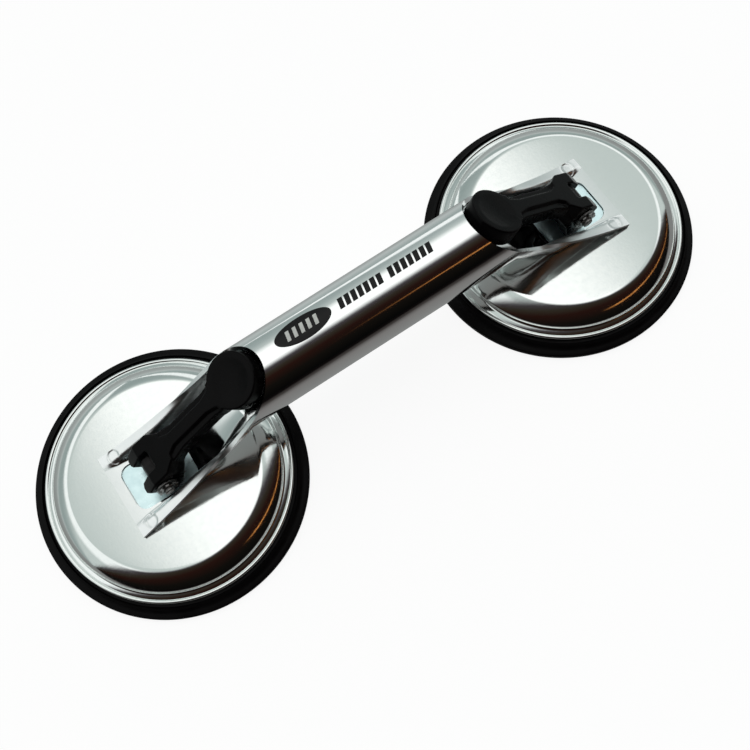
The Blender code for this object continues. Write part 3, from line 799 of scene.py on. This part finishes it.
def addCut(piece, mesh, operation="DIFFERENCE"):
    cutter = newPiece(mesh.name, mesh)
    modifier = piece.modifiers.new(mesh.name, "BOOLEAN")
    modifier.operation = operation
    modifier.solver = "EXACT"
    modifier.object = cutter
    return cutter


def removeHelpers(helpers):
    for helper in helpers:
        bpy.data.objects.remove(helper, do_unlink=True)


def notchOutline(side):
    outer, inner, halfWidth, corner = handleSettings["notch"]
    turnSign = 1 if side == "left" else -1
    corners = [(inner, halfWidth, 0), (outer, halfWidth, 90)]
    corners += [(outer, -halfWidth, 180), (inner, -halfWidth, 270)]
    outline = []
    for x, y, startAngle in corners:
        centre = (x - math.copysign(corner, x), y - math.copysign(corner, y))
        outline += arcPoints(centre, corner, startAngle, startAngle + 90, 8)
    return [(cups[side] / mm + turnSign * x, y) for x, y in outline]


def makeHandle():
    handle = newPiece("handleTube", meshFrom(handleShell(), "handleTube", 40), finishes["tubeChrome"])
    below, above = handleSettings["notchCut"]
    low, high = plateTop / mm - below, footTop / mm + above
    cutters = [addCut(handle, prismMesh(side + "Notch", notchOutline(side), low, high, "Z")) for side in cups]
    bakeModifiers(handle, 40)
    removeHelpers(cutters)
    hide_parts("handle_tube")
    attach(handle, "frame")
    return handle


makeHandle()
print("handle lofted")

# U runs along the arm from the pin, V is square to it and up. Millimetres and degrees.
leverSettings = {
    "slope": 29.0,
    "lift": 60.0,
    "lockedReach": 10.3,
    "releasedReach": 7.6,
    "top": 7.1,
    "underside": -0.4,
    "forkUnderside": -4.1,
    "noseStart": 0.5,
    "noseDrop": 3.6,
    "armHalfWidth": 5.3,
    "forkHalfWidth": 9.5,
    "forkEnd": 8.0,
    "shoulderEnd": 12.5,
    "tipChamfer": 2.4,
    "innerChamfer": 1.3,
    "padCentre": 53.2,
    "padRadius": 10.75,
    "padThickness": 7.0,
    "dishRadius": 46.0,
    "dishDepth": 0.75,
    "slotHalfWidth": 3.9,
    "slotEnd": 5.1,
    "boreRadius": 2.3,
    "undercut": 2.0,
    "heelLength": 3.0,
    "noseOverlap": 1.0,
    "shoulderStep": 1.5,
    "shoulderTaper": 8.0,
    "neckLength": 3.0,
    "neckFlare": 0.9,
    "ribHalfWidth": 2.7,
    "fluteDepth": 1.3,
    "fluteEnds": (-1.0, 2.2),
    "fluteStart": ((2.5, 1.5), (6.0, 0.0)),  # distance from the flute's end, and from the rib
    "fluteFinish": ((7.0, 0.0), (2.0, 1.2)),
    "cutterReach": 30.0,
    "mouthReach": 20.0,
    "boreSides": 24,
    "voxel": 0.34,
}


# The cam's working edge, whose reach shrinks evenly as the lever lifts, and the flat heel beside it.
def camEdge(steps=18):
    size = leverSettings
    lift = math.radians(size["lift"])
    growth = (size["lockedReach"] - size["releasedReach"]) / lift
    locked = math.radians(270 - size["slope"])
    edge = []
    for i in range(steps + 1):
        direction = locked - lift * (1 - i / steps)
        reach = between(size["releasedReach"], size["lockedReach"], i / steps)
        u = reach * math.cos(direction) - growth * math.sin(direction)
        v = reach * math.sin(direction) + growth * math.cos(direction)
        edge.append((u, v))
    heel = size["heelLength"]
    edge.append((edge[-1][0] - heel * math.sin(locked), edge[-1][1] + heel * math.cos(locked)))
    return edge


def leverSideOutline():
    size = leverSettings
    tip = -size["releasedReach"]
    padStart, padEnd = size["padCentre"] - size["padRadius"], size["padCentre"] + size["padRadius"]
    outline = [(tip, size["top"] - size["noseDrop"])] + camEdge()
    cut, padUnderside = size["undercut"], size["top"] - size["padThickness"]
    outline += [(size["forkEnd"], size["forkUnderside"]), (size["shoulderEnd"] + cut, size["underside"])]
    outline += [(padStart, size["underside"]), (padStart + cut, padUnderside), (padEnd, padUnderside)]
    outline += [(padEnd, size["top"]), (size["noseStart"], size["top"])]
    return outline


def mirroredOutline(half):
    return half + [(u, -y) for u, y in reversed(half) if y > 0]


def leverPlanOutline():
    size = leverSettings
    tip = -size["releasedReach"]
    arm, shoulder = size["armHalfWidth"], size["shoulderEnd"]
    start = 180 - math.degrees(math.asin((arm + size["neckFlare"]) / size["padRadius"]))
    half = [(tip - size["noseOverlap"], size["forkHalfWidth"] - size["tipChamfer"])]
    half += [(tip + size["tipChamfer"], size["forkHalfWidth"]), (size["forkEnd"], size["forkHalfWidth"])]
    half += [(shoulder, arm + size["shoulderStep"]), (shoulder + size["shoulderTaper"], arm)]
    half += [(size["padCentre"] - size["padRadius"] - size["neckLength"], arm)]
    half += arcPoints((size["padCentre"], 0), size["padRadius"], start, 0, 40)
    return mirroredOutline(half)


def fluteOutline(sign):
    size = leverSettings
    first, last = size["fluteEnds"]
    start, end = size["shoulderEnd"] + first, size["padCentre"] - size["padRadius"] + last
    inner, outer = size["ribHalfWidth"], size["forkHalfWidth"] + 2
    half = [(start, outer)] + [(start + u, inner + y) for u, y in size["fluteStart"]]
    half += [(end - u, inner + y) for u, y in size["fluteFinish"]] + [(end, outer)]
    return [(u, sign * y) for u, y in half]


# One lever about its pin: side outline, plan, fork, bore, flutes and dish, then softened like a moulding.
def leverTemplate():
    size = leverSettings
    far, mouth, sides = size["cutterReach"], size["mouthReach"], size["boreSides"]
    wide = size["padRadius"] + 1
    lever = newPiece("leverTemplate", prismMesh("leverSide", leverSideOutline(), -wide, wide, "Y"))
    helpers = [addCut(lever, prismMesh("leverPlan", leverPlanOutline(), -far, far, "Z"), "INTERSECT")]
    flare, tip = size["innerChamfer"], -size["releasedReach"]
    half = [(-mouth, size["slotHalfWidth"] + mouth + tip + 2 * flare), (tip + flare, size["slotHalfWidth"])]
    half += [(size["slotEnd"], size["slotHalfWidth"])]
    slot = mirroredOutline(half)
    helpers.append(addCut(lever, prismMesh("forkSlot", slot, -far, far, "Z")))
    bore = arcPoints((0, 0), size["boreRadius"], 0, 360 - 360 / sides, sides - 1)
    helpers.append(addCut(lever, prismMesh("pinBore", bore, -wide, wide, "Y")))
    for name, sign in (("nearFlute", -1), ("farFlute", 1)):
        flute = prismMesh(name, fluteOutline(sign), size["top"] - size["fluteDepth"], size["top"] + 3, "Z")
        helpers.append(addCut(lever, flute))
    dish = bmesh.new()
    radius = size["dishRadius"]
    place = Matrix.Translation(Vector((size["padCentre"], 0, size["top"] - size["dishDepth"] + radius)) * mm)
    bmesh.ops.create_icosphere(dish, subdivisions=5, radius=radius * mm, matrix=place)
    helpers.append(addCut(lever, meshFrom(dish, "thumbDish")))
    remesh = lever.modifiers.new("mould", "REMESH")
    remesh.mode = "VOXEL"
    remesh.voxel_size = size["voxel"] * mm
    soften = lever.modifiers.new("soften", "SMOOTH")
    soften.factor = 0.5
    soften.iterations = 5
    bakeModifiers(lever, 60)
    removeHelpers(helpers)
    return lever


# Lays the lever down on the handle at its pin, mirrored for the right-hand cup.
def makeLever(side, template):
    inwards = 1 if side == "left" else -1
    slope = math.radians(leverSettings["slope"])
    run, up = Vector((math.cos(slope), 0, math.sin(slope))), Vector((-math.sin(slope), 0, math.cos(slope)))
    bm = bmesh.new()
    bm.from_mesh(template.data)
    for vert in bm.verts:
        u, y, v = vert.co
        place = run * u + up * v
        vert.co = (cups[side] + inwards * place.x, y, pinHeight + place.z)
    lever = newPiece(side + "CamLever", meshFrom(bm, side + "CamLever", 60), finishes["leverPlastic"])
    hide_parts(side + "_lever")
    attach(lever, side + "_cam_lever")


template = leverTemplate()
for side in cups:
    makeLever(side, template)
bpy.data.objects.remove(template, do_unlink=True)
print("cam levers moulded")

clipSettings = {
    "teeth": 9,
    "hubRadius": 2.35,
    "ringRadius": 3.2,
    "tipRadius": 4.2,
    "thickness": 0.55,
    "coning": 0.05,
    "ringNose": 0.1,
    "toothWidth": 1.3,
    "toothThickness": 0.45,
    "toothOverlap": 0.4,
    "steps": 36,
}


# A toothed push-on washer: each tooth is one small block, copied round the ring.
def makeClipTree():
    tree = bpy.data.node_groups.new("toothedClip", "GeometryNodeTree")
    addGroupSocket(tree, "Ring", "INPUT", "NodeSocketGeometry")
    addGroupSocket(tree, "Teeth", "INPUT", "NodeSocketInt", 8)
    addGroupSocket(tree, "Tooth Radius", "INPUT", "NodeSocketFloat", 0.003)
    addGroupSocket(tree, "Tooth Size", "INPUT", "NodeSocketVector")
    addGroupSocket(tree, "Finish", "INPUT", "NodeSocketMaterial")
    addGroupSocket(tree, "Clip", "OUTPUT", "NodeSocketGeometry")
    given = addNode(tree, "NodeGroupInput")
    ring = addNode(tree, "GeometryNodeMeshCircle", Vertices=given.outputs["Teeth"])
    tree.links.new(given.outputs["Tooth Radius"], ring.inputs["Radius"])
    tooth = addNode(tree, "GeometryNodeMeshCube", Size=given.outputs["Tooth Size"])
    place = addNode(tree, "GeometryNodeInputPosition").outputs[0]
    facing = addNode(tree, "FunctionNodeAlignEulerToVector", {"axis": "X"}, Vector=place)
    copies = addNode(tree, "GeometryNodeInstanceOnPoints", Points=ring.outputs["Mesh"])
    tree.links.new(tooth.outputs["Mesh"], copies.inputs["Instance"])
    tree.links.new(facing.outputs[0], copies.inputs["Rotation"])
    joined = addNode(tree, "GeometryNodeJoinGeometry")
    tree.links.new(given.outputs["Ring"], joined.inputs[0])
    tree.links.new(copies.outputs["Instances"], joined.inputs[0])
    solid = addNode(tree, "GeometryNodeRealizeInstances", Geometry=joined.outputs["Geometry"])
    coated = addNode(tree, "GeometryNodeSetMaterial", Geometry=solid.outputs["Geometry"])
    tree.links.new(given.outputs["Finish"], coated.inputs["Material"])
    addNode(tree, "NodeGroupOutput", Clip=coated.outputs["Geometry"])
    return tree


def makePinClip(side, tree):
    size = clipSettings
    low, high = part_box(side + "_pin_clip")
    half, coning, ring = size["thickness"] / 2, size["coning"], size["ringRadius"]
    outline = [(size["hubRadius"], -half), (ring, -half - coning), (ring + size["ringNose"], 0)]
    outline += [(ring, half - coning), (size["hubRadius"], half)]
    clip = turnPiece(side + "PinClip", outline, finishes["hardwareSteel"], 0.0, size["steps"])
    modifier = clip.modifiers.new("teeth", "NODES")
    modifier.node_group = tree
    setModifierInput(modifier, "Teeth", size["teeth"])
    setModifierInput(modifier, "Tooth Radius", (ring + size["tipRadius"]) / 2 * mm)
    length = size["tipRadius"] - ring + size["toothOverlap"]
    toothSize = (length * mm, size["toothWidth"] * mm, size["toothThickness"] * mm)
    setModifierInput(modifier, "Tooth Size", toothSize)
    setModifierInput(modifier, "Finish", finishes["hardwareSteel"])
    bakeModifiers(clip)
    bm = bmesh.new()
    bm.from_mesh(clip.data)
    bmesh.ops.rotate(bm, cent=(0, 0, 0), matrix=Matrix.Rotation(math.pi / 2, 3, "X"), verts=bm.verts)
    bmesh.ops.translate(bm, vec=(cups[side], (low.y + high.y) / 2, pinHeight), verts=bm.verts)
    clip.data = meshFrom(bm, clip.name, 30)
    clip.data.materials.append(finishes["hardwareSteel"])
    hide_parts(side + "_pin_clip")
    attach(clip, side + "_stud")


def finishHardware(side):
    for part, finish in (
        ("_lift_stud", "studSteel"),
        ("_pad_insert", "hardwareSteel"),
        ("_pivot_pin", "hardwareSteel"),
        ("_pin_washer", "hardwareSteel"),
        ("_wear_plate", "wearZinc"),
    ):
        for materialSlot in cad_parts[side + part].material_slots:
            materialSlot.material = finishes[finish]


clipTree = makeClipTree()
for side in cups:
    makePinClip(side, clipTree)
    finishHardware(side)
print("pins and clips ready")

# Plain printed marks: an oval with slanted stripes and a row of slanted bars. Millimetres.
printSettings = {
    "ink": 0.05,
    "ovalCentre": (-26.7, 0.9),
    "ovalSize": (24.0, 9.6),
    "ovalStripes": 5,
    "rowStart": -11.2,
    "rowCentre": 0.9,
    "rowHeight": 4.4,
    "barWidth": 2.1,
    "barStep": 2.8,
    "bars": 14,
    "gapAfter": 7,
    "gapWidth": 0.8,  # as a share of one step
    "slant": 0.22,
    "stripeSpan": 0.62,  # as a share of the oval's length
    "stripeShift": 0.1,
    "stripeWidth": 1.5,
    "stripeHeight": 0.42,  # as a share of the oval's height
}


# Bends flat artwork, drawn in X and Y, round the tube's top.
def wrapOnTube(bm):
    radius = handleSettings["radius"] + handleSettings["sheet"] / 2
    for vert in bm.verts:
        x, y, z = vert.co / mm
        angle = y / radius
        out = radius + z
        height = handleSettings["axisHeight"] + out * math.cos(angle)
        vert.co = Vector((x, out * math.sin(angle), height)) * mm


# A thin closed plate of the outline's shape, with rings of points inside it so that it can bend.
def addArtwork(bm, outline, low, high, rings=6):
    centre = np.mean(outline, axis=0)
    levels = []
    for height in (high, low):
        middle = bm.verts.new((*centre * mm, height * mm))
        loops = []
        for i in range(1, rings + 1):
            ring = [between(centre, np.array(point), i / rings) * mm for point in outline]
            loops.append([bm.verts.new((*place, height * mm)) for place in ring])
        levels.append((middle, loops))
    count = len(outline)
    for middle, loops in levels:
        for i in range(count):
            j = (i + 1) % count
            bm.faces.new((middle, loops[0][i], loops[0][j]))
            for inside, outside in zip(loops, loops[1:]):
                bm.faces.new((inside[i], inside[j], outside[j], outside[i]))
    top, bottom = levels[0][1][-1], levels[1][1][-1]
    for i in range(count):
        j = (i + 1) % count
        bm.faces.new((top[i], top[j], bottom[j], bottom[i]))


def slantedBar(x, y, width, height):
    lean = printSettings["slant"] * height / 2
    corners = [(x - lean, y - height / 2), (x + width - lean, y - height / 2)]
    corners += [(x + width + lean, y + height / 2), (x + lean, y + height / 2)]
    outline = []
    for (x0, y0), (x1, y1) in zip(corners, corners[1:] + corners[:1]):
        outline += [(between(x0, x1, i / 4), between(y0, y1, i / 4)) for i in range(4)]
    return outline


def ovalOutline(shrink, steps=72):
    size = printSettings
    halfX, halfY = size["ovalSize"][0] / 2 - shrink, size["ovalSize"][1] / 2 - shrink
    angles = [2 * math.pi * i / steps for i in range(steps)]
    centreX, centreY = size["ovalCentre"]
    return [(centreX + halfX * math.cos(a), centreY + halfY * math.sin(a)) for a in angles]


def finishPrint(bm, name, finish):
    wrapOnTube(bm)
    mark = newPiece(name, meshFrom(bm, name, 40), finishes[finish])
    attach(mark, "frame")


def makePrint():
    size = printSettings
    ink = size["ink"]
    dark, light = bmesh.new(), bmesh.new()
    addArtwork(dark, ovalOutline(0), -ink, ink)
    for i in range(size["bars"]):
        x = size["rowStart"] + size["barStep"] * (i + (size["gapWidth"] if i >= size["gapAfter"] else 0))
        addArtwork(dark, slantedBar(x, size["rowCentre"], size["barWidth"], size["rowHeight"]), -ink, ink)
    stripeSpan = size["ovalSize"][0] * size["stripeSpan"]
    stripeHeight = size["ovalSize"][1] * size["stripeHeight"]
    for i in range(size["ovalStripes"]):
        x = size["ovalCentre"][0] + stripeSpan * ((i + size["stripeShift"]) / size["ovalStripes"] - 0.5)
        stripe = slantedBar(x, size["ovalCentre"][1], size["stripeWidth"], stripeHeight)
        addArtwork(light, stripe, 0, 2 * ink)
    finishPrint(dark, "printedMarks", "printBlack")
    finishPrint(light, "printedStripes", "printSilver")


makePrint()
print("printed marks ready")
